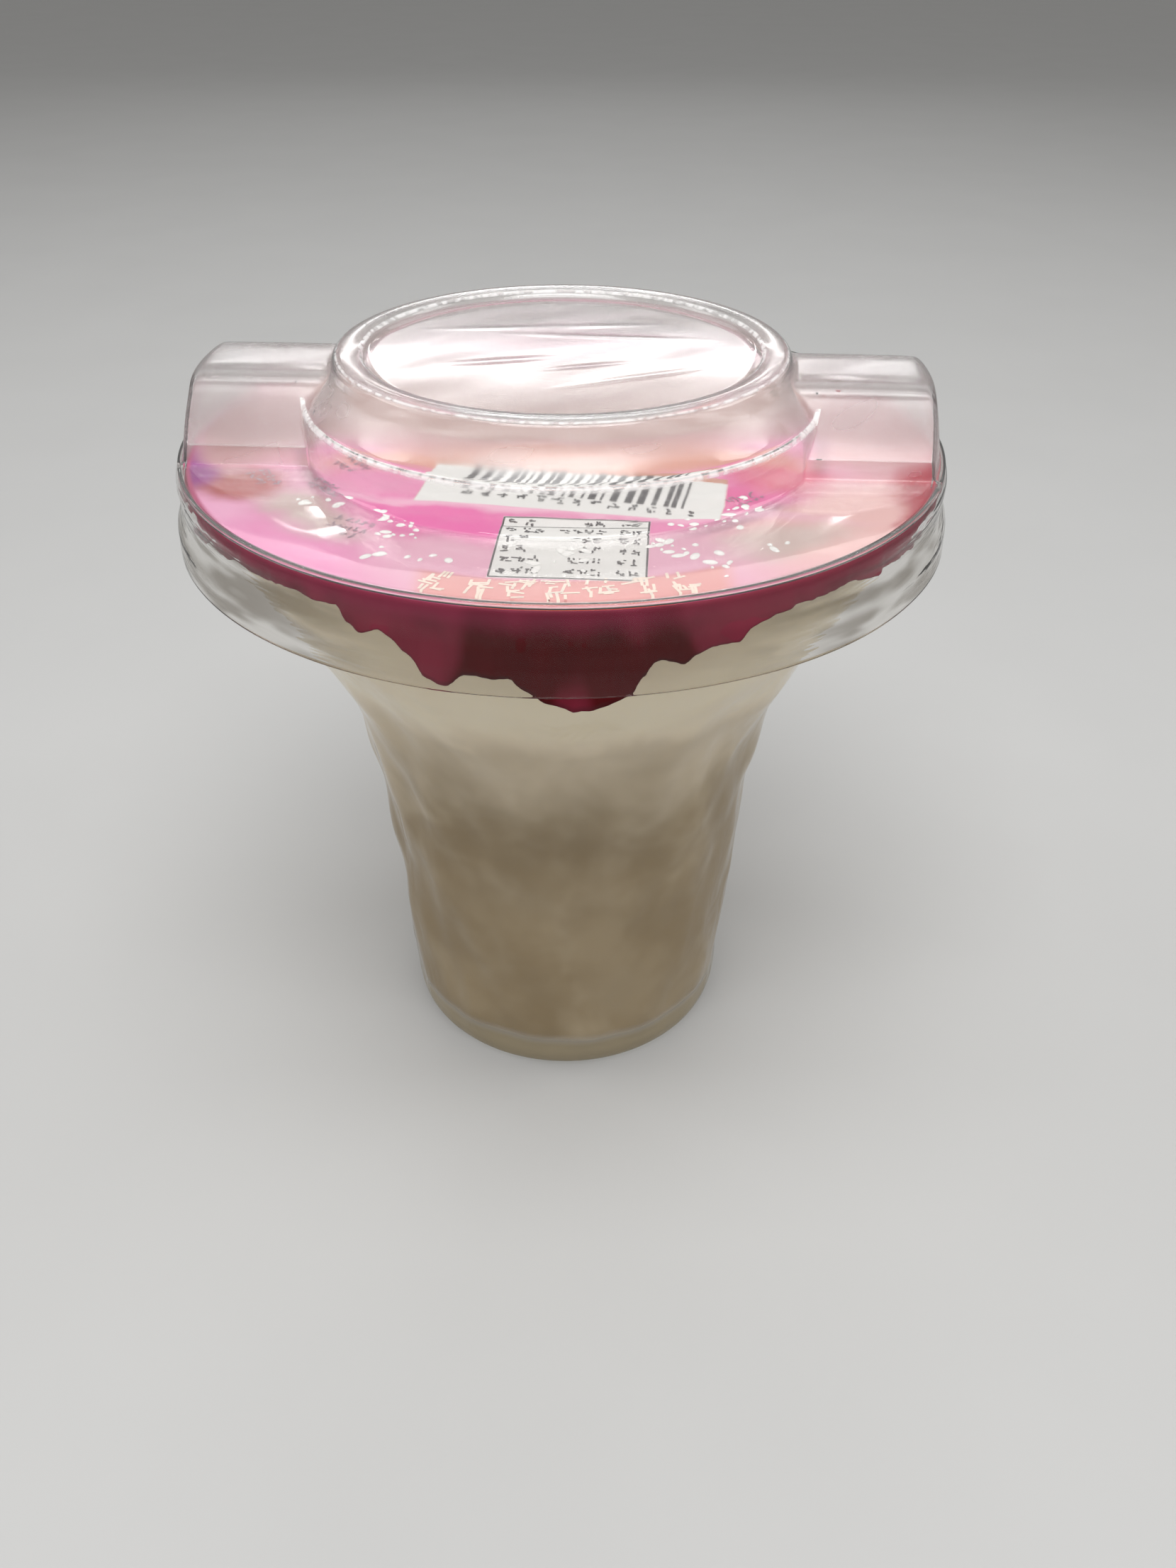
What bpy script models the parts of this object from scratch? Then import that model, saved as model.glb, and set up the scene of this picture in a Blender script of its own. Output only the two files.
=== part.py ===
"""Lychee jelly cup: a clear flared cup of jelly, its printed sealing film and a clear push-fit overcap.

Metres, +Z up. The origin is the middle of the circle that the cup's foot stands on.
The overcap's straight spoon bar lies nearly along X, and the film's pull tab hangs at the front, towards -Y.
"""

import math

import bmesh
import bpy
from mathutils import Matrix, Vector

MM = 0.001

# Driving dimensions
FILM_TOP = 83.6 * MM
GAP = 0.3 * MM
TURN_STEPS = 48
MERGE = 0.00001
SHARP_ANGLE = 35.0

# Cup
CUP_WALL = 0.7 * MM
FLANGE_RADIUS = 42.8 * MM
FLANGE_THICK = 1.0 * MM
FLANGE_EDGE = 0.3 * MM
FOOT_HEIGHT = 4.3 * MM
FOOT_RADIUS = 22.7 * MM
FLOOR_FILLET = 1.6 * MM
MOUTH_RADIUS = 39.9 * MM
# The outer wall between the flange and the foot, as (radius, height)
WALL_MARKS = (
    (39.0 * MM, 75.8 * MM),
    (36.2 * MM, 69.4 * MM),
    (31.7 * MM, 61.6 * MM),
    (27.9 * MM, 52.8 * MM),
    (25.6 * MM, 41.5 * MM),
    (24.2 * MM, 29.0 * MM),
)
# The foot's curl: its outside, the ring that it stands on, and back up inside to the floor
FOOT_MARKS = (
    (22.4 * MM, 2.0 * MM),
    (21.7 * MM, 0.6 * MM),
    (20.8 * MM, 0.0),
    (19.4 * MM, 0.0),
    (19.6 * MM, 0.9 * MM),
    (20.9 * MM, 1.8 * MM),
    (21.3 * MM, FOOT_HEIGHT),
)

# Jelly
HEADSPACE = 1.8 * MM

# Sealing film, with its hem's drops measured from the film's top
FILM_THICK = 0.2 * MM
FILM_RADIUS = 43.35 * MM
FILM_EDGE = 0.5 * MM
FILM_COLUMNS = 144
HEM_LEAST = 1.2 * MM
HEM_RIPPLE = 0.35 * MM
CALM_ANGLE = 40.0
# The hem's drop at angles from the front, in degrees, positive towards +X
HEM_MARKS = (
    (-180.0, 2.3 * MM),
    (-34.0, 1.9 * MM),
    (-30.0, 2.4 * MM),
    (-26.5, 4.4 * MM),
    (-23.3, 3.5 * MM),
    (-20.0, 5.6 * MM),
    (-15.4, 8.3 * MM),
    (-12.2, 6.9 * MM),
    (-6.8, 7.0 * MM),
    (-2.6, 9.5 * MM),
    (1.5, 10.3 * MM),
    (6.5, 9.5 * MM),
    (9.4, 7.4 * MM),
    (11.6, 5.5 * MM),
    (15.0, 6.3 * MM),
    (18.0, 4.8 * MM),
    (22.2, 4.6 * MM),
    (25.0, 2.9 * MM),
    (31.0, 2.3 * MM),
    (180.0, 2.3 * MM),
)

# Overcap, with heights measured from the film's top
CAP_WALL = 0.4 * MM
PLATE_HEIGHT = 0.9 * MM
SKIRT_DROP = 8.2 * MM
SKIRT_RADIUS = 45.15 * MM
GROOVE_RADIUS = 44.15 * MM
GROOVE_DROP = 3.2 * MM
BEAD_RADIUS = 44.3 * MM
DOME_RADIUS = 30.1 * MM
SHOULDER_HEIGHT = 5.6 * MM
RING_RADIUS = 25.9 * MM
RING_HEIGHT = 11.2 * MM
RECESS_RADIUS = 22.6 * MM
RECESS_DEPTH = 1.1 * MM
BAR_HEIGHT = 9.5 * MM
BAR_FOOT_HALF = 13.4 * MM
BAR_FOOT_REACH = 43.3 * MM
BAR_STEP_HALF = 13.0 * MM
BAR_STEP_REACH = 42.9 * MM
BAR_STEP_HEIGHT = 3.0 * MM
BAR_TOP_HALF = 6.9 * MM
BAR_TOP_REACH = 41.4 * MM
BAR_FILLET = 2.4 * MM
BAR_ROOT = -2.0 * MM
BAR_TURN = -4.0
BAR_END_STEPS = 6


def clear_scene():
    for old in list(bpy.data.objects):
        bpy.data.objects.remove(old)


def make_collection(name):
    group = bpy.data.collections.new(name)
    bpy.context.scene.collection.children.link(group)
    return group


def make_material(name, colour, roughness, transmission=0.0):
    material = bpy.data.materials.new(name)
    material.use_nodes = True
    shader = material.node_tree.nodes["Principled BSDF"]
    shader.inputs["Base Color"].default_value = (*colour, 1.0)
    shader.inputs["Roughness"].default_value = roughness
    shader.inputs["Metallic"].default_value = 0.0
    shader.inputs["Transmission Weight"].default_value = transmission
    return material


def add_object(name, mesh, group, material=None):
    thing = bpy.data.objects.new(name, mesh)
    group.objects.link(thing)
    if material is not None:
        mesh.materials.append(material)
    return thing


def shade_smooth(thing):
    thing.data.shade_smooth()
    thing.data.set_sharp_from_angle(angle=math.radians(SHARP_ANGLE))


def apply_modifiers(thing):
    graph = bpy.context.evaluated_depsgraph_get()
    mesh = bpy.data.meshes.new_from_object(thing.evaluated_get(graph))
    thing.modifiers.clear()
    thing.data = mesh


def turn(name, outline, group, material=None, steps=TURN_STEPS):
    """Turns an (r, z) outline about Z. It runs from the axis out and down the outer side."""
    mesh = bpy.data.meshes.new(name)
    points = [(r, 0.0, z) for r, z in outline]
    mesh.from_pydata(points, [(i, i + 1) for i in range(len(points) - 1)], [])
    thing = add_object(name, mesh, group, material)
    screw = thing.modifiers.new("turn", "SCREW")
    screw.axis = "Z"
    screw.steps = steps
    screw.render_steps = steps
    screw.use_merge_vertices = True
    screw.merge_threshold = MERGE
    apply_modifiers(thing)
    shade_smooth(thing)
    return thing


def spline(marks, steps):
    """A smooth curve through the marks, with the same number of steps between each two."""
    ends = [marks[0], *marks, marks[-1]]
    curve = []
    for k in range(len(marks) - 1):
        a, b, c, d = (Vector(p) for p in ends[k : k + 4])
        for i in range(steps):
            t = i / steps
            bend = (2 * a - 5 * b + 4 * c - d) * t**2 + (3 * b - a - 3 * c + d) * t**3
            curve.append(tuple(0.5 * (2 * b + (c - a) * t + bend)))
    curve.append(tuple(marks[-1]))
    return curve


def arc(centre, radius, start, end, steps):
    """An arc in the (r, z) plane between two angles in degrees."""
    angles = [math.radians(start + (end - start) * i / steps) for i in range(steps + 1)]
    return [(centre[0] + radius * math.cos(a), centre[1] + radius * math.sin(a)) for a in angles]


def inset(outline, distance):
    """The outline moved to the right of its travel, which is inwards on a turned shape."""
    moved = []
    for i, mark in enumerate(outline):
        here = Vector(mark)
        before = Vector(outline[max(i - 1, 0)])
        after = Vector(outline[min(i + 1, len(outline) - 1)])
        runs = [run for run in (here - before, after - here) if run.length > 0]
        sides = [Vector((run.y, -run.x)).normalized() for run in runs]
        middle = sum(sides, Vector((0.0, 0.0))).normalized()
        moved.append(tuple(here + middle * distance / max(middle.dot(sides[0]), 0.5)))
    return moved


def flange_top():
    return FILM_TOP - FILM_THICK - GAP


def outer_wall():
    """The cup's outer wall down from the flange: a flared mouth on a slightly tapered body."""
    mouth = (MOUTH_RADIUS, flange_top() - FLANGE_THICK)
    foot = (FOOT_RADIUS, FOOT_HEIGHT)
    return spline([mouth, *WALL_MARKS, foot], 2)


def inner_wall():
    """The inside of the cup's wall, up from the floor's edge to the flange's top."""
    inside = inset(outer_wall(), CUP_WALL)
    inside[0] = (MOUTH_RADIUS - CUP_WALL, flange_top())
    fillet_top = FOOT_HEIGHT + CUP_WALL + FLOOR_FILLET
    rising = [mark for mark in reversed(inside) if mark[1] > fillet_top + MM]
    fillet_centre = (FOOT_RADIUS - CUP_WALL - FLOOR_FILLET, fillet_top)
    return arc(fillet_centre, FLOOR_FILLET, -90.0, 0.0, 3) + rising


def make_cup(group, material):
    """The cup's closed section: floor, inner wall, flange, outer wall, curled foot and recessed underside."""
    top = flange_top()
    flange = [
        (FLANGE_RADIUS - FLANGE_EDGE, top),
        (FLANGE_RADIUS, top - FLANGE_EDGE),
        (FLANGE_RADIUS, top - FLANGE_THICK),
    ]
    floor = (0.0, FOOT_HEIGHT + CUP_WALL)
    underside = (0.0, FOOT_HEIGHT)
    return turn("cup", [floor, *inner_wall(), *flange, *outer_wall(), *FOOT_MARKS, underside], group, material)


def make_jelly(group, material):
    """The filling, which keeps a gap to the cup's wall and floor."""
    level = FILM_TOP - FILM_THICK - HEADSPACE
    bottom = FOOT_HEIGHT + CUP_WALL + GAP
    side = [(r - GAP, max(z, bottom)) for r, z in inner_wall() if z < level - MM]
    top_edge = (MOUTH_RADIUS - CUP_WALL - 2 * GAP, level)
    outline = [(0.0, bottom), *side, top_edge, (0.0, level)]
    return turn("jelly", outline[::-1], group, material)


def hem_drop(angle):
    """How far the film's hem hangs below its top, at an angle in degrees from the front."""
    drop = HEM_LEAST
    for (start, high), (end, low) in zip(HEM_MARKS, HEM_MARKS[1:]):
        if start <= angle <= end:
            t = (angle - start) / (end - start)
            drop = high + (low - high) * t * t * (3 - 2 * t)
    away = min(abs(angle) / CALM_ANGLE, 1.0)
    ripple = math.sin(math.radians(17 * angle)) + 0.6 * math.sin(math.radians(29 * angle + 40))
    return max(drop + HEM_RIPPLE * away * ripple, HEM_LEAST)


def make_film(group, material):
    """The sealing film: a disc turned down over the flange into a loose hem with the pull tab's lobes."""
    fold = FILM_TOP - FILM_EDGE
    outline = [
        (0.0, FILM_TOP),
        (FILM_RADIUS - FILM_EDGE, FILM_TOP),
        (FILM_RADIUS - 0.3 * FILM_EDGE, FILM_TOP - 0.3 * FILM_EDGE),
        (FILM_RADIUS, fold),
        (FILM_RADIUS, fold - 0.5 * HEM_LEAST),
        (FILM_RADIUS, fold - HEM_LEAST),
    ]
    film = turn("sealing_film", outline, group, material, FILM_COLUMNS)
    for vertex in film.data.vertices:
        below = fold - vertex.co.z
        if below > 0:
            angle = math.degrees(math.atan2(vertex.co.x, -vertex.co.y))
            vertex.co.z = fold - below / HEM_LEAST * (hem_drop(angle) - FILM_EDGE)
    thickness = film.modifiers.new("thickness", "SOLIDIFY")
    thickness.thickness = FILM_THICK
    thickness.offset = -1.0
    thickness.use_even_offset = True
    apply_modifiers(film)
    shade_smooth(film)


def cap_outline():
    """The overcap's outer section from the middle of the disc to the skirt's hem."""
    crest = RING_HEIGHT
    recess = RING_HEIGHT - RECESS_DEPTH
    shoulder = SHOULDER_HEIGHT
    marks = [
        (0.0, recess),
        (RECESS_RADIUS - 0.4 * MM, recess),
        (RECESS_RADIUS + 0.1 * MM, crest - 0.3 * MM),
        (RECESS_RADIUS + 1.1 * MM, crest),
        (RING_RADIUS - 0.8 * MM, crest),
        (RING_RADIUS, crest - 0.8 * MM),
        (RING_RADIUS + 0.2 * MM, crest - 2.0 * MM),
        (DOME_RADIUS - 1.1 * MM, shoulder + 0.5 * MM),
        (DOME_RADIUS - 0.3 * MM, shoulder - 0.2 * MM),
        (DOME_RADIUS, shoulder - 1.1 * MM),
        (DOME_RADIUS + 0.1 * MM, PLATE_HEIGHT + 0.6 * MM),
        (DOME_RADIUS + 0.8 * MM, PLATE_HEIGHT),
        (BEAD_RADIUS - 1.1 * MM, PLATE_HEIGHT),
        (BEAD_RADIUS - 0.2 * MM, PLATE_HEIGHT - 0.5 * MM),
        (BEAD_RADIUS, PLATE_HEIGHT - 1.7 * MM),
        (GROOVE_RADIUS, -GROOVE_DROP),
        (SKIRT_RADIUS - 0.25 * MM, -0.66 * SKIRT_DROP),
        (SKIRT_RADIUS, -SKIRT_DROP),
    ]
    return [(r, FILM_TOP + z) for r, z in marks]


def bar_levels(bottom):
    """The spoon bar's outlines as (reach, half width, height): a steep low step, sloping sides, a rounded top."""
    shoulder = BAR_HEIGHT - BAR_FILLET
    levels = [
        (BAR_FOOT_REACH, BAR_FOOT_HALF, bottom),
        (BAR_FOOT_REACH, BAR_FOOT_HALF, PLATE_HEIGHT),
        (BAR_STEP_REACH, BAR_STEP_HALF, BAR_STEP_HEIGHT),
    ]
    for out, rise in arc((0.0, 0.0), BAR_FILLET, 0.0, 90.0, 3):
        back = BAR_FILLET - out
        levels.append((BAR_TOP_REACH - back, BAR_TOP_HALF - back, shoulder + rise))
    return levels


def make_bar(name, group, shrink=0.0):
    """A solid of the spoon bar, with straight sides and with ends that follow the rim's circle."""
    shape = bmesh.new()
    rows = []
    for reach, half, height in bar_levels(BAR_ROOT - 4 * shrink):
        wide = half - shrink
        tall = FILM_TOP + height - (shrink if height > 0 else 0.0)
        row = []
        for end in (1, -1):
            for i in range(BAR_END_STEPS + 1):
                y = end * wide * (2 * i / BAR_END_STEPS - 1)
                x = end * math.sqrt((reach - shrink) ** 2 - y**2)
                row.append(shape.verts.new((x, y, tall)))
        rows.append(row)
    count = len(rows[0])
    shape.faces.new(rows[0][::-1])
    shape.faces.new(rows[-1])
    for lower, upper in zip(rows, rows[1:]):
        for i in range(count):
            j = (i + 1) % count
            shape.faces.new((lower[i], lower[j], upper[j], upper[i]))
    spin = Matrix.Rotation(math.radians(BAR_TURN), 3, "Z")
    bmesh.ops.rotate(shape, verts=shape.verts, cent=(0, 0, 0), matrix=spin)
    mesh = bpy.data.meshes.new(name)
    shape.to_mesh(mesh)
    shape.free()
    return add_object(name, mesh, group)


def combine(thing, other, operation):
    step = thing.modifiers.new(operation.lower(), "BOOLEAN")
    step.operation = operation
    step.solver = "EXACT"
    step.object = other
    apply_modifiers(thing)
    bpy.data.objects.remove(other)


def make_overcap(group, cutters, material):
    """The clear overcap: dome, plate, skirt and spoon bar in one sheet, open below."""
    outline = cap_outline()
    hem = FILM_TOP - SKIRT_DROP
    cap = turn("overcap", [*outline, (0.0, hem)], group, material)
    combine(cap, make_bar("bar_outside", cutters), "UNION")
    inside = inset(outline, CAP_WALL)
    below = hem - CAP_WALL
    inside += [(inside[-1][0], below), (0.0, below)]
    hollow = turn("cap_inside", inside, cutters)
    combine(hollow, make_bar("bar_inside", cutters, CAP_WALL), "UNION")
    combine(cap, hollow, "DIFFERENCE")
    shade_smooth(cap)


def main():
    clear_scene()
    group = make_collection("lychee_jelly_cup")
    cutters = make_collection("cutters")
    cup_plastic = make_material("cup_plastic", (0.86, 0.87, 0.84), 0.12, transmission=0.9)
    jelly_filling = make_material("jelly_filling", (0.66, 0.62, 0.50), 0.15, transmission=0.5)
    printed_film = make_material("printed_film", (0.78, 0.22, 0.48), 0.25)
    overcap_plastic = make_material("overcap_plastic", (0.92, 0.91, 0.91), 0.08, transmission=0.95)
    make_cup(group, cup_plastic)
    make_jelly(group, jelly_filling)
    make_film(group, printed_film)
    make_overcap(group, cutters, overcap_plastic)


main()
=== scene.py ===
"""Looks of the lychee jelly cup: clear flared cup, cloudy jelly, printed sealing film and clear overcap.

Lengths are in millimetres until a mesh is made. Heights on the overcap are measured from the film's top.
"""

import math

import bpy
import numpy as np
from mathutils import Matrix, Vector, noise
from mathutils.geometry import delaunay_2d_cdt


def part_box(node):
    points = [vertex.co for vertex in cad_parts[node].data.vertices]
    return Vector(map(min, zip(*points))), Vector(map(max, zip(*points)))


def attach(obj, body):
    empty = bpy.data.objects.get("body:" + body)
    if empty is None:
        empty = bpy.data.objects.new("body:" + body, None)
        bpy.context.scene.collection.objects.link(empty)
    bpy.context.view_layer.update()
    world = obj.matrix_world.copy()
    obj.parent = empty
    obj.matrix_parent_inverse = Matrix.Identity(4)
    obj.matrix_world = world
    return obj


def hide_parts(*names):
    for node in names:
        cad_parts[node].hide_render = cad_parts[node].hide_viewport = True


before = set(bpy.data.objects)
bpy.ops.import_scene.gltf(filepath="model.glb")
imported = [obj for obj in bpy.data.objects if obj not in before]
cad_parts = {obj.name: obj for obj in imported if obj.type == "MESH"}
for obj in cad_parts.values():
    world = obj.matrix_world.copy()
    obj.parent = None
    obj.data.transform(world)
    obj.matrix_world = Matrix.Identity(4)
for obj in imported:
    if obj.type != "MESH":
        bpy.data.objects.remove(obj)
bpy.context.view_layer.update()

MM = 0.001

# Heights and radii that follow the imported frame
FILM_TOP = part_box("sealing_film")[1].z / MM
FILM_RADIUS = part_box("sealing_film")[1].x / MM
SKIRT_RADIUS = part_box("overcap")[1].x / MM
SKIRT_DROP = FILM_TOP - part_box("overcap")[0].z / MM
RING_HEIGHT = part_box("overcap")[1].z / MM - FILM_TOP
FLANGE_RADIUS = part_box("cup")[1].x / MM
FLANGE_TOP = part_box("cup")[1].z / MM
JELLY_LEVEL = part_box("jelly")[1].z / MM

COLUMNS = 256
FULL_TURN = math.tau

# Cup
CUP_WALL = 0.7
FLANGE_THICK = 1.0
FOOT_HEIGHT = 4.3
FOOT_RADIUS = 22.7
MOUTH_RADIUS = 39.9
LIP_DROP = 0.8
FLANGE_FILLET = 0.3
# The outer wall between the flange and the foot, as (radius, height)
WALL_MARKS = ((39.0, 75.8), (36.2, 69.4), (31.7, 61.6), (27.9, 52.8), (25.6, 41.5), (24.2, 29.0))
WALL_STEPS = 9
# The foot's outside, the ring that it stands on, and back up inside to the floor
FOOT_MARKS = (
    (22.5, 1.2),
    (21.2, 0.0),
    (19.2, 0.0),
    (19.5, 1.0),
    (21.3, 2.4),
    (21.2, FOOT_HEIGHT),
    (18.0, FOOT_HEIGHT),
)
# How far the round corner inside runs along the floor and up the wall
CORNER_REACH = 4.0
CORNER_RISE = 3.0
# The hammered relief: its depth, the heights it lies between and the lengths over which it fades there
RELIEF = 0.75
RELIEF_LOW, RELIEF_HIGH = 1.0, 74.0
RELIEF_FADE_LOW, RELIEF_FADE_HIGH = 8.0, 14.0
RELIEF_CORE = 24.0

# Jelly: it climbs the wall a little and dips in the middle
SIDE_STOP = 0.8
CLIMB = 0.3
CLIMB_WIDTH = 1.6
DIP = 0.4

# Sealing film
FILM_THICK = 0.15
FILM_COLUMNS = 720
FILM_EDGE = 0.5
FILM_RINGS = (1.0, 3.0, *range(5, 43))
# The disc's wrinkles: their height, and where they stop before the edge and how they fade
WRINKLE = 0.1
WRINKLE_STOP, WRINKLE_FADE = 0.8, 3.0
HEM_ROWS = 15
HEM_CLEARANCE = 0.3
# The hem's folds grow to full size over a drop, and its flare over a longer one
HEM_FOLD, HEM_FOLD_GROWTH = 0.62, 2.5
HEM_FLARE, HEM_FLARE_GROWTH = 0.7, 10.0
# The lower edge's ripples are full from an angle in degrees on, and its small jitter is there all round
HEM_RIPPLE, HEM_RIPPLE_FULL = 0.4, 40
HEM_JITTER = 0.22
# The hem's drop at angles from the front, in degrees, positive towards +X
HEM_MARKS = (
    (-180.0, 2.3),
    (-64.0, 2.6),
    (-53.0, 2.3),
    (-34.0, 1.9),
    (-30.0, 2.4),
    (-28.3, 3.9),
    (-26.5, 4.4),
    (-23.3, 3.5),
    (-20.0, 5.6),
    (-17.5, 7.8),
    (-15.1, 8.3),
    (-12.2, 6.9),
    (-6.8, 7.0),
    (-4.6, 8.4),
    (-1.8, 9.6),
    (1.8, 10.2),
    (5.4, 10.0),
    (8.0, 8.9),
    (9.6, 6.9),
    (11.4, 5.5),
    (15.0, 6.3),
    (16.9, 5.6),
    (18.6, 4.7),
    (22.2, 4.6),
    (24.0, 3.2),
    (28.0, 2.5),
    (180.0, 2.3),
)

# Print: places on the film, half sizes, and turns in degrees
LABEL_PLACE, LABEL_HALF, LABEL_TURN = (1.0, -15.9), (16.3, 5.0), -10.5
MARGIN_PLACE, MARGIN_HALF = (1.1, -15.3), (16.3, 5.6)
BARS_PLACE, BARS_TURN = (1.8, -14.1), -13.5
BARS_REACH = 12.4
BARS_FOOT, BARS_HEAD = -3.6, 3.4
BAR_UNIT = 0.264
# The row of scribbles under the bars
FIGURES, FIGURES_START, FIGURE_STEP = 13, -12.0, 2
FIGURES_LINE, FIGURE_SIZE = -4.7, 1.3
TABLE_PLACE, TABLE_PANEL_HALF, TABLE_TURN = (0.8, -30.0), (7.6, 7.4), -4.5
TABLE_HALF_WIDTH, TABLE_HALF_HEIGHT = 7.5, 7.2
TABLE_RULE = 0.2
HEADER_LINE, HEADER_RULE = 4.9, 0.14
TABLE_ROWS, FIRST_ROW, ROW_STEP = 6, 6.0, 2.35
# The table's three columns: the outer two from their left, the middle one from its right
ITEM_LEFT, AMOUNT_RIGHT, SHARE_LEFT = -7.0, 2.9, 4.5
ITEM_SIZE, AMOUNT_SIZE, AMOUNT_STEP = 1.35, 1.15, 1.1
TITLE_RADIUS, TITLE_START, TITLE_STEP = 39.5, -17.5, 5.6
TITLE_GLYPHS, TITLE_SIZE, TITLE_STROKES, TITLE_THICK = 7, 3.4, 13, 0.3
TITLE_BAND = 40.0
# A letter's strokes: how many, how far they lean in degrees, and shares of its size
LETTER_STROKES = 6
STROKE_LEAN = 14
STROKE_HALF = (0.12, 0.27)
LETTER_STEP, LETTER_THICK = 1.05, 0.17
STRIP_STEP = 1.5
INK_RISE = 0.03
# Blocks of small words: place, turn, rows
WORD_BLOCKS = (
    ((-25.5, -15.5), -42, 2),
    ((-21.0, -25.5), -28, 3),
    ((-33.0, -13.0), -60, 2),
    ((-23.5, -9.5), -50, 2),
    ((20.5, -17.5), 32, 2),
)
BLOCK_LEFT, BLOCK_INDENT, BLOCK_SIZE = -3.4, 0.8, 0.95
BLOCK_FIRST_ROW, BLOCK_ROW_STEP = 1.1, 1.5

# Moisture, white as painted glints: the middles of loose groups of beads, and a bead's rings as (height,
# share of its width)
BEAD_SIDES = 14
BEAD_RINGS = ((0.02, 1.0), (0.11, 0.7), (0.16, 0.3))
BEAD_TOP = 0.18
# From and to: beads in a group (the last number isn't reached), half width, and length over width
BEADS_IN_GROUP = (4, 9)
BEAD_HALF = (0.15, 0.5)
BEAD_STRETCH = (1.0, 1.9)
BEAD_SCATTER = 1.0
GLINT_DROPLET_GROUPS = (
    (-28.0, -19.2),
    (-23.4, -19.0),
    (-19.5, -22.0),
    (-16.2, -25.0),
    (-17.4, -27.4),
    (-18.8, -31.2),
    (-13.3, -32.4),
    (9.6, -29.4),
    (12.4, -25.0),
    (12.2, -31.6),
    (16.4, -24.6),
    (18.8, -20.8),
    (15.0, -34.4),
    (20.4, -31.0),
    (0.4, -31.2),
    (1.2, -35.4),
    (-2.6, -34.0),
)

# Overcap
CAP_WALL = 0.4
PLATE_HEIGHT = 0.9
PLATE_EDGE = 43.95
RIM_ROUND = 1.2
RIM_LIP = 0.35
RIM_OUTER = PLATE_EDGE + RIM_LIP
SKIRT_START = 43.3
# The skirt below the plate's edge, as (radius, height)
SKIRT_MARKS = (
    (PLATE_EDGE, PLATE_HEIGHT - RIM_LIP),
    (44.45, -0.5),
    (44.1, -2.6),
    (44.2, -3.9),
    (45.0, -5.4),
    (45.05, -6.2),
    (SKIRT_RADIUS, -SKIRT_DROP),
)
# The skirt isn't quite round below a height
SKIRT_SWAY = 0.1
SWAY_TOP = -1
DOME_RADIUS = 30.1
SHOULDER_HEIGHT = 5.6
RING_RADIUS = 25.9
RECESS_RADIUS = 22.6
RECESS_DEPTH = 1.1
BAR_HEIGHT = 9.5
BAR_TURN = math.radians(-4.0)
# The spoon bar's height across it and along it
BAR_SIDE = (
    (0.0, BAR_HEIGHT),
    (4.4, BAR_HEIGHT),
    (6.2, 8.9),
    (7.2, 7.1),
    (12.6, 3.4),
    (13.0, 2.9),
    (13.3, 1.3),
    (13.7, PLATE_HEIGHT),
    (16.0, PLATE_HEIGHT),
)
BAR_END = (
    (25.0, BAR_HEIGHT),
    (40.1, BAR_HEIGHT),
    (41.5, 9.1),
    (42.1, 7.1),
    (42.9, 3.4),
    (43.2, 1.3),
    (43.6, PLATE_HEIGHT),
    (45.0, PLATE_HEIGHT),
)
# The bar's lines in the plan: their half spread, how far out they run, and where the bar's ends start
BAR_PLAN_HALF = 14.2
BAR_PLAN_RUN = (25.6, 43.6)
BAR_PLAN_STEPS, BAR_END_STEPS = 19, 25
BAR_END_START = 38.0
BAR_BLEND = 1.6
# The thin bead round the dome's foot
LEDGE_RADIUS = 29.5
LEDGE_BEAD = 0.4
LEDGE_WIDTH = 0.35
# The fillet between plate, bar and dome
BLEND = 0.7
# Circles in the plan where nothing rises, and the least gap between two circles
FLAT_RINGS = (4.0, 10.0, 16.0, 34.0, 38.0)
LEAST_RING_GAP = 0.07
MERGE = 0.004
WELD = 0.02

# Camera, fitted to the circles of the rim, dome, shoulder, ring and foot
RIM_RADIUS = 44.0
CAMERA_PLACE = Vector((0.0, -3.328, 1.239)) * RIM_RADIUS
CAMERA_FORWARD = Vector((0.01767, 0.81319, -0.58173))
CAMERA_UP = Vector((0.00629, 0.58172, 0.81336))
CAMERA_LENS = 29.29


def on_circle(radius, angle, height):
    """A point at an angle in radians from the front, positive towards +X."""
    return (radius * math.sin(angle), -radius * math.cos(angle), height)


def curve_through(marks, steps):
    """A smooth curve through the marks, with the same number of steps between each two."""
    points = np.array([marks[0], *marks, marks[-1]], float)
    t = np.arange(steps)[:, None] / steps
    runs = []
    for a, b, c, d in zip(points, points[1:], points[2:], points[3:]):
        bend = (2 * a - 5 * b + 4 * c - d) * t**2 + (3 * b - a - 3 * c + d) * t**3
        runs.append(0.5 * (2 * b + (c - a) * t + bend))
    return [tuple(p) for p in np.vstack([*runs, points[-1:]])]


def rounded(marks, passes=3):
    """The outline through the marks with its corners cut round."""
    points = [np.array(mark, float) for mark in marks]
    for _ in range(passes):
        cut = [points[0]]
        for a, b in zip(points, points[1:]):
            cut += [0.75 * a + 0.25 * b, 0.25 * a + 0.75 * b]
        points = cut + [points[-1]]
    return [tuple(p) for p in points]


def offset(outline, distance):
    """The outline moved to the right of its travel."""
    points = np.array(outline, float)
    ahead = np.diff(points, axis=0, append=points[-1:])
    ahead[-1] = ahead[-2]
    behind = np.vstack([ahead[:1], ahead[:-1]])
    side = []
    for run in (behind, ahead):
        side.append(np.stack([run[:, 1], -run[:, 0]], 1) / np.linalg.norm(run, axis=1)[:, None])
    middle = side[0] + side[1]
    middle /= np.linalg.norm(middle, axis=1)[:, None]
    stretch = 1 / np.maximum((middle * side[0]).sum(1), 0.5)
    return [tuple(p) for p in points + middle * distance * stretch[:, None]]


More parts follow.
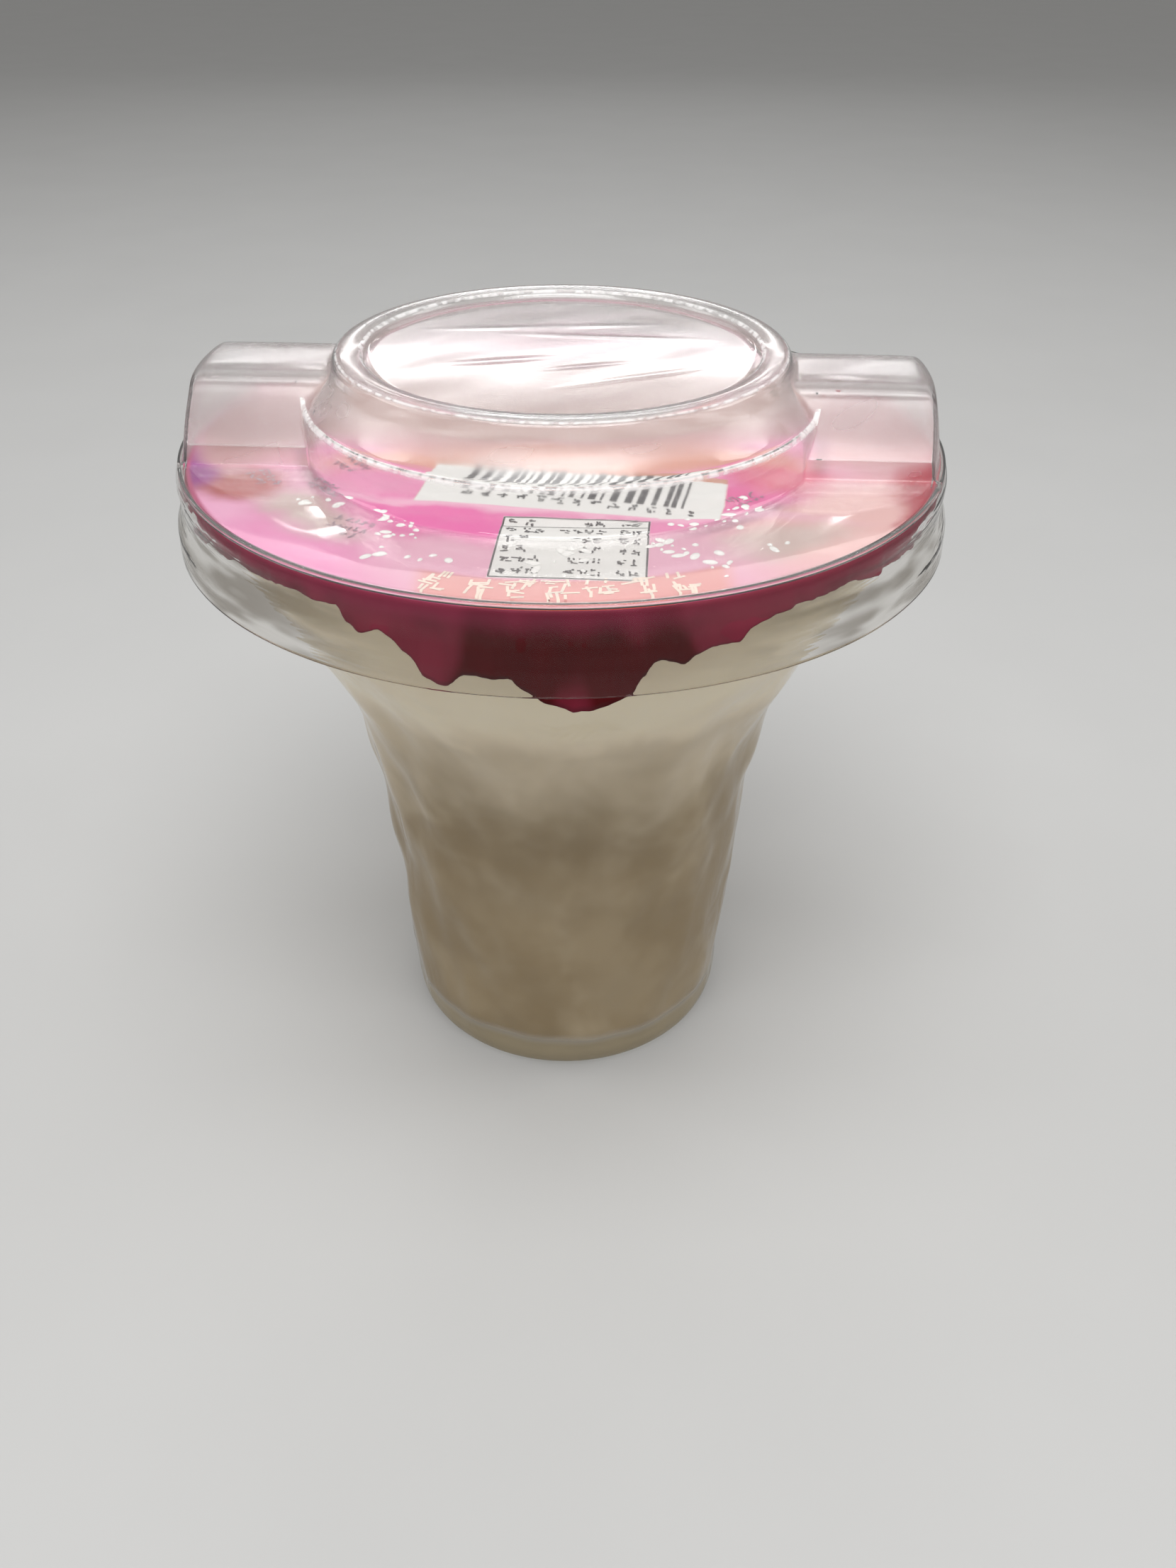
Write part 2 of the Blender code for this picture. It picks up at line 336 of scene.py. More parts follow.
def add_piece(name, points, faces, material, node=None):
    """A smooth-shaded piece from points in millimetres, on the only body. It may replace a CAD node."""
    mesh = bpy.data.meshes.new(name)
    mesh.from_pydata([tuple(MM * c for c in p) for p in points], [], faces)
    mesh.validate()
    mesh.shade_smooth()
    mesh.materials.append(material)
    piece = bpy.data.objects.new(name, mesh)
    bpy.context.scene.collection.objects.link(piece)
    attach(piece, "root")
    if node:
        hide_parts(node)
    return piece


def apply_modifiers(piece):
    """Makes the piece's modifiers part of its mesh."""
    graph = bpy.context.evaluated_depsgraph_get()
    mesh = bpy.data.meshes.new_from_object(piece.evaluated_get(graph))
    piece.modifiers.clear()
    piece.data = mesh


def ring_faces(rows, columns, first=0):
    """Quads between rings of points that follow each other, each with the same number of columns."""
    faces = []
    for row in range(rows - 1):
        for i in range(columns):
            j = (i + 1) % columns
            a, b = first + row * columns, first + (row + 1) * columns
            faces.append((a + i, b + i, b + j, a + j))
    return faces


def revolve(outline, push):
    """Points and faces of an outline turned about Z. Its two ends lie on the axis and close as fans.
    push(angle, z) says how far a point moves outwards."""
    angles = [FULL_TURN * i / COLUMNS for i in range(COLUMNS)]
    rims = outline[1:-1]
    points = [on_circle(r + push(angle, z), angle, z) for r, z in rims for angle in angles]
    faces = ring_faces(len(rims), COLUMNS)
    for mark, start, turn in ((outline[0], 0, 1), (outline[-1], (len(rims) - 1) * COLUMNS, -1)):
        points.append((0.0, 0.0, mark[1]))
        for i in range(COLUMNS):
            fan = (len(points) - 1, start + i, start + (i + 1) % COLUMNS)
            faces.append(fan[::turn])
    return points, faces


# Materials

CLEAR = 0.995


class Finish:
    """A material with a Principled shader, and short calls for the nodes that drive it."""

    def __init__(self, name, colour=(0.8, 0.8, 0.8), roughness=0.4, **settings):
        self.material = bpy.data.materials.new(name)
        self.material.use_nodes = True
        self.tree = self.material.node_tree
        self.shader = self.tree.nodes["Principled BSDF"]
        self.output = self.tree.nodes["Material Output"]
        self.place = self.node("ShaderNodeTexCoord").outputs["Object"]
        self.set("Base Color", (*colour, 1.0))
        self.set("Roughness", roughness)
        for socket, value in settings.items():
            self.set(socket.replace("_", " "), value)

    def node(self, kind, **settings):
        made = self.tree.nodes.new(kind)
        for name, value in settings.items():
            setattr(made, name, value)
        return made

    def feed(self, socket, value):
        """Links an output to a socket, or sets the socket to a plain value."""
        if isinstance(value, bpy.types.NodeSocket):
            self.tree.links.new(value, socket)
        elif isinstance(value, (tuple, list)) and len(value) == 3 and socket.type == "RGBA":
            socket.default_value = (*value, 1.0)
        else:
            socket.default_value = value

    def set(self, name, value):
        self.feed(self.shader.inputs[name], value)

    def maths(self, operation, *values):
        made = self.node("ShaderNodeMath", operation=operation)
        for socket, value in zip(made.inputs, values):
            self.feed(socket, value)
        return made.outputs[0]

    def vector(self, operation, *values):
        made = self.node("ShaderNodeVectorMath", operation=operation)
        for socket, value in zip(made.inputs, values):
            self.feed(socket, value)
        return made.outputs["Value" if operation == "LENGTH" else "Vector"]

    def parts(self, vector):
        made = self.node("ShaderNodeSeparateXYZ")
        self.feed(made.inputs[0], vector)
        return made.outputs

    def mapped(self, vector, place=(0, 0, 0), turn=(0, 0, 0), scale=(1, 1, 1)):
        """The vector as seen from a place, turned and then measured in units of scale."""
        made = self.node("ShaderNodeMapping", vector_type="TEXTURE")
        self.feed(made.inputs["Vector"], vector)
        made.inputs["Location"].default_value = place
        made.inputs["Rotation"].default_value = turn
        made.inputs["Scale"].default_value = scale
        return made.outputs[0]

    def noise(self, vector, size, detail=2.0, roughness=0.5, distortion=0.0, colour=False):
        """Noise whose lumps are about size millimetres across."""
        made = self.node("ShaderNodeTexNoise")
        self.feed(made.inputs["Vector"], vector)
        made.inputs["Scale"].default_value = 1 / (size * MM)
        made.inputs["Detail"].default_value = detail
        made.inputs["Roughness"].default_value = roughness
        made.inputs["Distortion"].default_value = distortion
        return made.outputs["Color" if colour else "Fac"]

    def ramp(self, value, low, high, out_low=0.0, out_high=1.0):
        """A smooth step from out_low to out_high as the value goes from low to high."""
        made = self.node("ShaderNodeMapRange", interpolation_type="SMOOTHSTEP")
        for socket, number in zip(made.inputs, (value, low, high, out_low, out_high)):
            self.feed(socket, number)
        return made.outputs[0]

    def mix(self, share, below, above, blend="MIX"):
        made = self.node("ShaderNodeMix", data_type="RGBA", blend_type=blend)
        self.feed(made.inputs[0], share)
        self.feed(made.inputs[6], below)
        self.feed(made.inputs[7], above)
        return made.outputs[2]

    def bump(self, height, distance, strength):
        made = self.node("ShaderNodeBump")
        made.inputs["Strength"].default_value = strength
        made.inputs["Distance"].default_value = distance * MM
        self.feed(made.inputs["Height"], height)
        self.set("Normal", made.outputs[0])

    def distance_from_axis(self):
        return self.vector("LENGTH", self.vector("MULTIPLY", self.place, (1.0, 1.0, 0.0)))

    def rise(self):
        """Height above the film's top."""
        return self.maths("SUBTRACT", self.parts(self.place)[2], FILM_TOP * MM)

    def pass_lamps(self):
        """Lets light from lamps through the clear plastic to what lies behind it."""
        path = self.node("ShaderNodeLightPath")
        open_rays = self.maths("MAXIMUM", path.outputs["Is Shadow Ray"], path.outputs["Is Diffuse Ray"])
        clear = self.node("ShaderNodeBsdfTransparent")
        clear.inputs["Color"].default_value = (0.93, 0.93, 0.92, 1.0)
        both = self.node("ShaderNodeMixShader")
        self.feed(both.inputs[0], open_rays)
        self.feed(both.inputs[1], self.shader.outputs[0])
        self.feed(both.inputs[2], clear.outputs[0])
        self.feed(self.output.inputs["Surface"], both.outputs[0])


def blob(finish, spot, place, reach, turn, soft):
    """A mask that is 1 within a soft-edged ellipse. Place and reach are in millimetres."""
    here = finish.mapped(
        spot,
        (place[0] * MM, place[1] * MM, FILM_TOP * MM),
        (0, 0, math.radians(turn)),
        (reach[0] * MM, reach[1] * MM, 1.0),
    )
    return finish.ramp(finish.vector("LENGTH", here), 1 - soft, 1 + soft, 1.0, 0.0)


def panel(finish, place, half, turn):
    """A mask that is 1 within a sharp-edged turned rectangle."""
    here = finish.mapped(
        finish.place,
        (place[0] * MM, place[1] * MM, FILM_TOP * MM),
        (0, 0, math.radians(turn)),
        (half[0] * MM, half[1] * MM, 1.0),
    )
    x, y, _ = finish.parts(here)
    far = finish.maths("MAXIMUM", finish.maths("ABSOLUTE", x), finish.maths("ABSOLUTE", y))
    return finish.ramp(far, 0.99, 1.01, 1.0, 0.0)


# Short creases in the overcap's disc
CREASES = (
    # place, reach, turn in degrees
    ((-7.0, -3.0), (4.5, 0.8), 12.0),
    ((2.5, -5.0), (3.5, 0.6), 16.0),
    ((7.5, -9.0), (6.0, 0.7), 22.0),
    ((5.0, 6.0), (8.0, 0.7), -6.0),
    ((-2.0, 10.0), (9.0, 0.8), 4.0),
)

# Whitish lines on the overcap's corners: worn plastic, and painted highlight along the ledge and the
# ring's crests
MILKY_HIGHLIGHT_LINES = (
    # radius, half width, from and up to a height
    (LEDGE_RADIUS, 0.38, 5.3, 6.8),
    (RING_RADIUS - 0.35, 0.4, 10.8, 13.0),
    (RECESS_RADIUS + 0.1, 0.35, 10.6, 13.0),
)


def overcap_finish():
    """Clear plastic: crisp on plate and ring, hazy on the bar and the dome's cone, streaky on the disc,
    with whitish lines of painted highlight on its corners.
    """
    finish = Finish("overcap_plastic", (0.98, 0.97, 0.965), IOR=1.42, Transmission_Weight=CLEAR)
    rise = finish.rise()
    streaks = finish.mapped(finish.place, turn=(0, 0, 0.5), scale=(3.0, 1.0, 1.0))
    waves = finish.noise(streaks, 9.0, detail=0.0)
    calm = finish.ramp(rise, 1.2 * MM, 9.9 * MM, 1.0, 0.3)
    relief = finish.maths("MULTIPLY", waves, calm)
    for place, reach, turn in CREASES:
        crease = blob(finish, finish.place, place, reach, turn, 0.9)
        relief = finish.maths("ADD", relief, finish.maths("MULTIPLY", crease, 0.12))
    finish.bump(relief, 0.35, 0.4)
    radius = finish.distance_from_axis()
    # Haze on the bar: between its sides, above the plate and outside the ring
    along_bar = finish.mapped(finish.place, turn=(0, 0, BAR_TURN))
    across = finish.maths("ABSOLUTE", finish.parts(along_bar)[1])
    on_bar = finish.ramp(across, 13.4 * MM, 13.8 * MM, 1.0, 0.0)
    on_bar = finish.maths("MULTIPLY", on_bar, finish.ramp(rise, 0.95 * MM, 1.3 * MM))
    on_bar = finish.maths("MULTIPLY", on_bar, finish.ramp(radius, 25.8 * MM, 26.4 * MM))
    # Haze on the dome's cone, between the ledge and the recess
    on_cone = finish.ramp(radius, 29.2 * MM, LEDGE_RADIUS * MM, 1.0, 0.0)
    on_cone = finish.maths("MULTIPLY", on_cone, finish.ramp(rise, 6.2 * MM, 7.8 * MM))
    on_cone = finish.maths("MULTIPLY", on_cone, finish.ramp(radius, 22.2 * MM, 22.8 * MM))
    haze = finish.maths("MAXIMUM", on_bar, on_cone)
    haze = finish.maths("MULTIPLY", haze, finish.ramp(rise, 8.6 * MM, 9.3 * MM, 0.2, 0.06))
    # A trace of haze on the disc, and scuffs everywhere
    on_disc = finish.ramp(radius, 21.6 * MM, 22.2 * MM, 0.05, 0.0)
    haze = finish.maths("ADD", haze, on_disc)
    scuff = finish.ramp(finish.noise(streaks, 5.0, detail=1.0), 0.35, 0.75, 0.03, 0.09)
    finish.set("Roughness", finish.maths("ADD", haze, scuff))
    # Painted highlight: less clear, whitish plastic along the ledge and the ring's crests, broken up by
    # wear
    worn = finish.ramp(finish.noise(finish.place, 1.1, detail=1.0), 0.35, 0.6, 0.3, 1.0)
    lines = 0.0
    for middle, half, low, high in MILKY_HIGHLIGHT_LINES:
        off = finish.maths("ABSOLUTE", finish.maths("SUBTRACT", radius, middle * MM))
        line = finish.ramp(off, 0.3 * half * MM, half * MM, 1.0, 0.0)
        line = finish.maths("MULTIPLY", line, finish.ramp(rise, low * MM, (low + 0.2) * MM))
        line = finish.maths("MULTIPLY", line, finish.ramp(rise, (high - 0.2) * MM, high * MM, 1.0, 0.0))
        lines = finish.maths("MAXIMUM", lines, line)
    lines = finish.maths("MULTIPLY", lines, finish.maths("MULTIPLY", worn, 0.6))
    finish.set("Transmission Weight", finish.maths("SUBTRACT", CLEAR, lines))
    finish.pass_lamps()
    return finish.material


def skirt_finish():
    """The overcap's rim and skirt: grey streaks that grow towards the left and right, and a little milky
    at the corner.
    """
    finish = Finish("skirt_plastic", roughness=0.05, IOR=1.19, Transmission_Weight=CLEAR)
    rise = finish.rise()
    bands = finish.mapped(finish.place, scale=(2.0, 2.0, 0.3))
    scuff = finish.noise(bands, 6.0, detail=2.0, distortion=0.2)
    sideways = finish.maths("ABSOLUTE", finish.parts(finish.place)[0])
    aside = finish.ramp(sideways, 14 * MM, 32 * MM, 0.1, 1.0)
    streaks = finish.maths("MULTIPLY", finish.ramp(scuff, 0.40, 0.60), aside)
    grey = finish.mix(streaks, (0.88, 0.86, 0.83), (0.46, 0.43, 0.39))
    upper = finish.ramp(rise, -1.6 * MM, -0.4 * MM)
    finish.set("Base Color", finish.mix(upper, grey, (0.97, 0.96, 0.95)))
    finish.set("Transmission Weight", finish.ramp(rise, 0.4 * MM, 0.6 * MM, CLEAR, 0.94))
    finish.bump(finish.noise(bands, 4.0, detail=2.0), 0.3, 0.4)
    finish.pass_lamps()
    return finish.material


def cup_finish():
    """Clear rippled plastic, cloudier at the foot."""
    finish = Finish("cup_plastic", roughness=0.05, IOR=1.3, Transmission_Weight=0.99)
    ripples = finish.mapped(finish.place, scale=(1.0, 1.0, 1.8))
    waves = finish.noise(ripples, 5.0, detail=2.0, distortion=0.6)
    finish.bump(waves, 0.4, 0.6)
    finish.set("Roughness", finish.ramp(finish.noise(finish.place, 9.0), 0.4, 0.7, 0.04, 0.12))
    above_foot = finish.ramp(finish.parts(finish.place)[2], 4.4 * MM, 7.6 * MM)
    finish.set("Base Color", finish.mix(above_foot, (0.44, 0.37, 0.25), (0.92, 0.90, 0.865)))
    finish.set("Transmission Weight", finish.ramp(above_foot, 0.0, 1.0, 0.35, 0.99))
    finish.pass_lamps()
    return finish.material


def jelly_finish():
    """Cloudy jelly: brown and grey clouds below, paler above, and cream in the flare. The paler top and
    the cream flare are painted light from above.
    """
    finish = Finish("jelly_filling", roughness=0.3)
    cloud = finish.noise(finish.place, 16.0, detail=3.0, roughness=0.55, distortion=0.2)
    tall = finish.mapped(finish.place, scale=(1.0, 1.0, 1.6))
    wisps = finish.noise(tall, 7.0, detail=2.0, distortion=0.3)
    height = finish.parts(finish.place)[2]
    brown, grey, cream = (0.31, 0.225, 0.115), (0.39, 0.30, 0.178), (1.0, 0.87, 0.67)
    colour = finish.mix(finish.ramp(cloud, 0.38, 0.65), brown, grey)
    colour = finish.mix(finish.ramp(wisps, 0.5, 0.8, 0.0, 0.12), colour, cream)
    # Painted light: paler towards the top
    clouded = finish.maths("ADD", height, finish.maths("MULTIPLY", cloud, 26 * MM))
    upper = finish.ramp(clouded, 50 * MM, 72 * MM)
    colour = finish.mix(finish.maths("MULTIPLY", upper, 0.62), colour, cream)
    # Painted light: cream in the flare, sharply paler than the body below it
    uneven = finish.maths("ADD", height, finish.maths("MULTIPLY", wisps, 6 * MM))
    flare = finish.ramp(uneven, 60.5 * MM, 65.0 * MM)
    flare = finish.maths("MULTIPLY", flare, finish.ramp(cloud, 0.36, 0.56, 0.78, 1.0))
    colour = finish.mix(flare, colour, cream)
    finish.set("Base Color", colour)
    finish.set("Subsurface Weight", 0.25)
    finish.set("Subsurface Radius", (1.0, 0.9, 0.6))
    finish.set("Subsurface Scale", 4.0 * MM)
    return finish.material


# Soft fields of colour in the print, later ones over earlier ones; a few are darkened as painted shade
# under the spoon bar, and one is made paler as a painted glare
BLOOMS = (
    # colour, place, reach, turn in degrees, softness
    ((0.84, 0.26, 0.52), (-28.0, -29.5), (13.0, 5.0), -38.0, 0.5),
    ((0.92, 0.42, 0.66), (-38.0, -20.0), (5.0, 7.0), 30.0, 0.5),
    # Salmon print, made paler here as a painted glare
    ((0.80, 0.45, 0.44), (31.0, -25.0), (16.0, 11.0), 40.0, 0.5),
    ((0.60, 0.44, 0.42), (-26.0, -21.5), (7.0, 3.6), -48.0, 0.6),
    ((0.62, 0.46, 0.43), (20.0, -30.0), (9.0, 3.2), 22.0, 0.5),
    ((0.42, 0.04, 0.04), (-36.0, -14.5), (5.8, 4.2), -20.0, 0.4),
    ((0.56, 0.30, 0.31), (-37.0, 0.0), (6.0, 10.0), 0.0, 0.5),
    ((0.30, 0.01, 0.24), (-42.4, -9.8), (3.2, 5.8), 12.0, 0.4),
    ((0.60, 0.32, 0.34), (37.0, -3.0), (7.0, 8.5), -8.0, 0.4),
    ((0.40, 0.004, 0.03), (41.6, -15.5), (5.4, 9.5), -22.0, 0.35),
    ((0.42, 0.004, 0.03), (38.8, -20.8), (2.6, 7.5), -28.0, 0.35),
    ((0.40, 0.17, 0.24), (0.0, 0.0), (31.0, 31.0), 0.0, 0.03),
    ((0.80, 0.42, 0.56), (0.0, -34.0), (18.0, 12.0), 0.0, 0.3),
    ((0.78, 0.27, 0.47), (0.0, 0.0), (29.3, 29.3), 0.0, 0.03),
    ((0.80, 0.14, 0.41), (-13.5, -22.5), (10.0, 4.5), -25.0, 0.5),
    ((0.74, 0.12, 0.34), (20.0, -17.0), (5.5, 4.0), 30.0, 0.5),
    ((0.70, 0.15, 0.24), (24.5, -12.0), (4.5, 5.0), 30.0, 0.5),
    ((0.86, 0.46, 0.62), (0.0, -20.5), (24.0, 1.6), -8.0, 0.5),
    ((0.72, 0.34, 0.27), (0.0, -7.0), (27.0, 4.5), 0.0, 0.35),
    # Painted shade under the spoon bar: the print darkened under its arms and back, and darker still under
    # its ends
    ((0.54, 0.38, 0.36), (0.0, 13.0), (40.0, 17.0), 0.0, 0.25),
    ((0.27, 0.115, 0.12), (-37.0, 6.0), (10.0, 9.0), 0.0, 0.4),
    ((0.28, 0.10, 0.11), (37.0, 6.0), (10.0, 9.0), 0.0, 0.4),
)


def film_finish():
    """The print on the disc: soft fields of pink, lilac, salmon and red, with two white panels, and some
    painted shade and glare among the fields.
    """
    finish = Finish(
        "printed_film", roughness=0.22, Specular_IOR_Level=0.4, Coat_Weight=0.35, Coat_Roughness=0.06
    )
    shift = finish.noise(finish.place, 9.0, detail=3.0, colour=True)
    shift = finish.vector("SUBTRACT", shift, (0.5, 0.5, 0.5))
    wander = finish.vector("MULTIPLY", shift, (7 * MM, 7 * MM, 0.0))
    spot = finish.vector("ADD", finish.place, wander)
    colour = (0.78, 0.36, 0.52)
    for bloom, place, reach, turn, soft in BLOOMS:
        round_field = reach[0] == reach[1]
        mask = blob(finish, finish.place if round_field else spot, place, reach, turn, soft)
        colour = finish.mix(mask, colour, bloom)
    radius = finish.distance_from_axis()
    x, y, _ = finish.parts(finish.place)
    off = finish.maths("ABSOLUTE", finish.maths("SUBTRACT", radius, TITLE_BAND * MM))
    # The band behind the title's strokes, at the front only
    band = finish.ramp(off, 1.8 * MM, 2.8 * MM, 1.0, 0.0)
    sideways = finish.maths("ABSOLUTE", finish.maths("SUBTRACT", x, 1.0 * MM))
    front = finish.ramp(sideways, 13.5 * MM, 16 * MM, 1.0, 0.0)
    near = finish.ramp(y, -31 * MM, -30 * MM, 1.0, 0.0)
    title = finish.maths("MULTIPLY", finish.maths("MULTIPLY", band, front), near)
    colour = finish.mix(finish.maths("MULTIPLY", title, 0.8), colour, (0.76, 0.31, 0.26))
    white, brown = (0.80, 0.79, 0.78), (0.58, 0.28, 0.21)
    red, purple, crimson = (0.58, 0.04, 0.02), (0.50, 0.06, 0.18), (0.40, 0.004, 0.03)
    colour = finish.mix(panel(finish, MARGIN_PLACE, MARGIN_HALF, LABEL_TURN), colour, brown)
    colour = finish.mix(panel(finish, LABEL_PLACE, LABEL_HALF, LABEL_TURN), colour, white)
    colour = finish.mix(panel(finish, TABLE_PLACE, TABLE_PANEL_HALF, TABLE_TURN), colour, white)
    edge = finish.mix(finish.ramp(sideways, 7 * MM, 12 * MM), red, purple)
    edge = finish.mix(finish.ramp(x, 26 * MM, 34 * MM), edge, crimson)
    colour = finish.mix(finish.ramp(radius, 42.4 * MM, 42.9 * MM), colour, edge)
    finish.set("Base Color", colour)
    crinkle = finish.maths("MULTIPLY", finish.noise(finish.place, 3.0, detail=3.0, roughness=0.6), 0.35)
    broad = finish.noise(finish.mapped(finish.place, scale=(2.2, 1.0, 1.0)), 6.0, detail=1.0)
    finish.bump(finish.maths("ADD", broad, crinkle), 0.3, 0.5)
    return finish.material


def hem_finish():
    """The film's hem, dark crimson with plum folds: its print darkened with painted shade under the
    overcap's rim.
    """
    finish = Finish("film_hem", roughness=0.35, Specular_IOR_Level=0.06)
    x, _, z = finish.parts(finish.place)
    # Painted shade: the print's crimson and magenta made much darker on the hem
    maroon, plum, magenta = (0.085, 0.003, 0.005), (0.23, 0.024, 0.05), (0.25, 0.018, 0.062)
    patches = finish.noise(finish.mapped(finish.place, scale=(1.0, 1.0, 2.0)), 8.0, detail=1.0)
    sideways = finish.maths("ABSOLUTE", finish.maths("SUBTRACT", x, 2 * MM))
    side = finish.ramp(sideways, 7 * MM, 17 * MM, 0.0, 0.32)
    colour = finish.mix(finish.ramp(finish.maths("ADD", patches, side), 0.54, 0.68), maroon, plum)
    upper = finish.ramp(z, (FILM_TOP - 3.2) * MM, (FILM_TOP - 0.8) * MM, 0.0, 0.6)
    upper = finish.maths("MULTIPLY", upper, finish.ramp(x, 4 * MM, 16 * MM, 1.0, 0.15))
    finish.set("Base Color", finish.mix(upper, colour, magenta))
    finish.bump(finish.noise(finish.place, 4.0, detail=2.0), 0.3, 0.4)
    return finish.material


def ink_finish(name, colour):
    """Printing ink, paler where it is worn."""
    finish = Finish(name, roughness=0.35)
    worn = finish.noise(finish.place, 1.2, detail=2.0)
    mid_grey = 0.5
    paler = tuple(0.6 * c + 0.4 * mid_grey for c in colour)
    finish.set("Base Color", finish.mix(finish.ramp(worn, 0.5, 0.8), colour, paler))
    return finish.material


def floor_finish():
    finish = Finish("floor", roughness=0.6)
    grain = finish.noise(finish.place, 40.0, detail=3.0)
    finish.set("Base Color", finish.mix(grain, (0.52, 0.52, 0.515), (0.55, 0.55, 0.545)))
    return finish.material


# Cup and jelly


def clamped(value):
    return min(max(value, 0.0), 1.0)


def relief(angle, height):
    """The wall's uneven, hammered look: how far a point is pushed out."""
    rise = clamped((height - RELIEF_LOW) / RELIEF_FADE_LOW)
    rise *= clamped((RELIEF_HIGH - height) / RELIEF_FADE_HIGH)
    x, y, _ = on_circle(RELIEF_CORE, angle, 0.0)
    broad = noise.noise(Vector((x / 7.0, y / 7.0, height / 11.0)))
    small = noise.noise(Vector((x / 3.6 + 9.0, y / 3.6, height / 5.5)))
    return RELIEF * rise * (broad + 0.45 * small)


def outer_wall():
    mouth = (MOUTH_RADIUS, FLANGE_TOP - FLANGE_THICK)
    return curve_through([mouth, *WALL_MARKS, (FOOT_RADIUS, FOOT_HEIGHT)], WALL_STEPS)


def inner_wall(depth):
    """The outer wall moved in by depth and run from the floor up to the mouth."""
    low = FOOT_HEIGHT + depth
    rising = [mark for mark in offset(outer_wall(), depth)[::-1] if mark[1] > low + CORNER_RISE]
    corner = rounded([(FOOT_RADIUS - depth - CORNER_REACH, low), (FOOT_RADIUS - depth, low), rising[0]])
    return corner[1:-1] + rising


def make_cup(material):
    outer = outer_wall()
    inner = inner_wall(CUP_WALL)
    inner[-1] = (MOUTH_RADIUS - CUP_WALL, FLANGE_TOP - LIP_DROP)
    lip = rounded(
        [
            inner[-1],
            (MOUTH_RADIUS - CUP_WALL, FLANGE_TOP),
            (FLANGE_RADIUS, FLANGE_TOP),
            (FLANGE_RADIUS, FLANGE_TOP - FLANGE_THICK),
            (MOUTH_RADIUS + FLANGE_FILLET, FLANGE_TOP - FLANGE_THICK),
            outer[1],
        ]
    )
    foot = rounded([outer[-1], *FOOT_MARKS])
    floor_top = (0.0, FOOT_HEIGHT + CUP_WALL)
    floor_under = (0.0, FOOT_HEIGHT)
    outline = [floor_top, *inner[:-1], *lip, *outer[2:-1], *foot, floor_under]
    add_piece("cup_shell", *revolve(outline, relief), material, "cup")


def make_jelly(material):
    """The filling reaches half way into the cup's wall, so that no gap shows between them."""
    depth = 0.5 * CUP_WALL
    side = [mark for mark in inner_wall(depth) if mark[1] < JELLY_LEVEL - SIDE_STOP]
    edge = side[-1][0]
    outline = [
        (0.0, JELLY_LEVEL - DIP),
        (0.6 * edge, JELLY_LEVEL - DIP),
        (edge - CLIMB_WIDTH, JELLY_LEVEL - CLIMB),
        (edge + 0.25, JELLY_LEVEL + CLIMB),
        *side[::-1],
        (0.0, FOOT_HEIGHT + depth),
    ]
    add_piece("jelly_body", *revolve(outline, relief), material, "jelly")


# Sealing film


def hem_drop(degrees):
    """How far the film's hem hangs below its top, at an angle from the front."""
    angles, drops = zip(*HEM_MARKS)
    at = np.interp(degrees, angles, range(len(angles)))
    first = min(int(at), len(drops) - 2)
    share = at - first
    share = share * share * (3 - 2 * share)
    drop = drops[first] * (1 - share) + drops[first + 1] * share
    long, short = math.radians(17 * degrees), math.radians(41 * degrees + 40)
    ripple = 0.5 * math.sin(long) + 0.35 * math.sin(short)
    ripple = HEM_RIPPLE * ripple * min(abs(degrees) / HEM_RIPPLE_FULL, 1)
    small = noise.noise(Vector((degrees / 1.3, 4.0, 0.0)))
    return drop + ripple + HEM_JITTER * small


def film_rise(x, y):
    """The disc's low wrinkles."""
    r = math.hypot(x, y)
    calm = clamped((FILM_RADIUS - WRINKLE_STOP - r) / WRINKLE_FADE)
    long = noise.noise(Vector((x / 14.0, y / 6.0, 2.0)))
    short = noise.noise(Vector((x / 4.0, y / 3.0, 7.0)))
    return WRINKLE * calm * (long + 0.5 * short)


def hem_fold(degrees, down):
    """How far the hem stands out or in at an angle, more towards its lower edge."""
    broad = noise.noise(Vector((degrees / 4.0, down * 0.12, 0.0)))
    small = noise.noise(Vector((degrees / 1.6, down * 0.2, 3.0)))
    flare = min(down / HEM_FLARE_GROWTH, 1.0)
    return HEM_FOLD * (broad + 0.5 * small) * min(down / HEM_FOLD_GROWTH, 1.0) + HEM_FLARE * flare


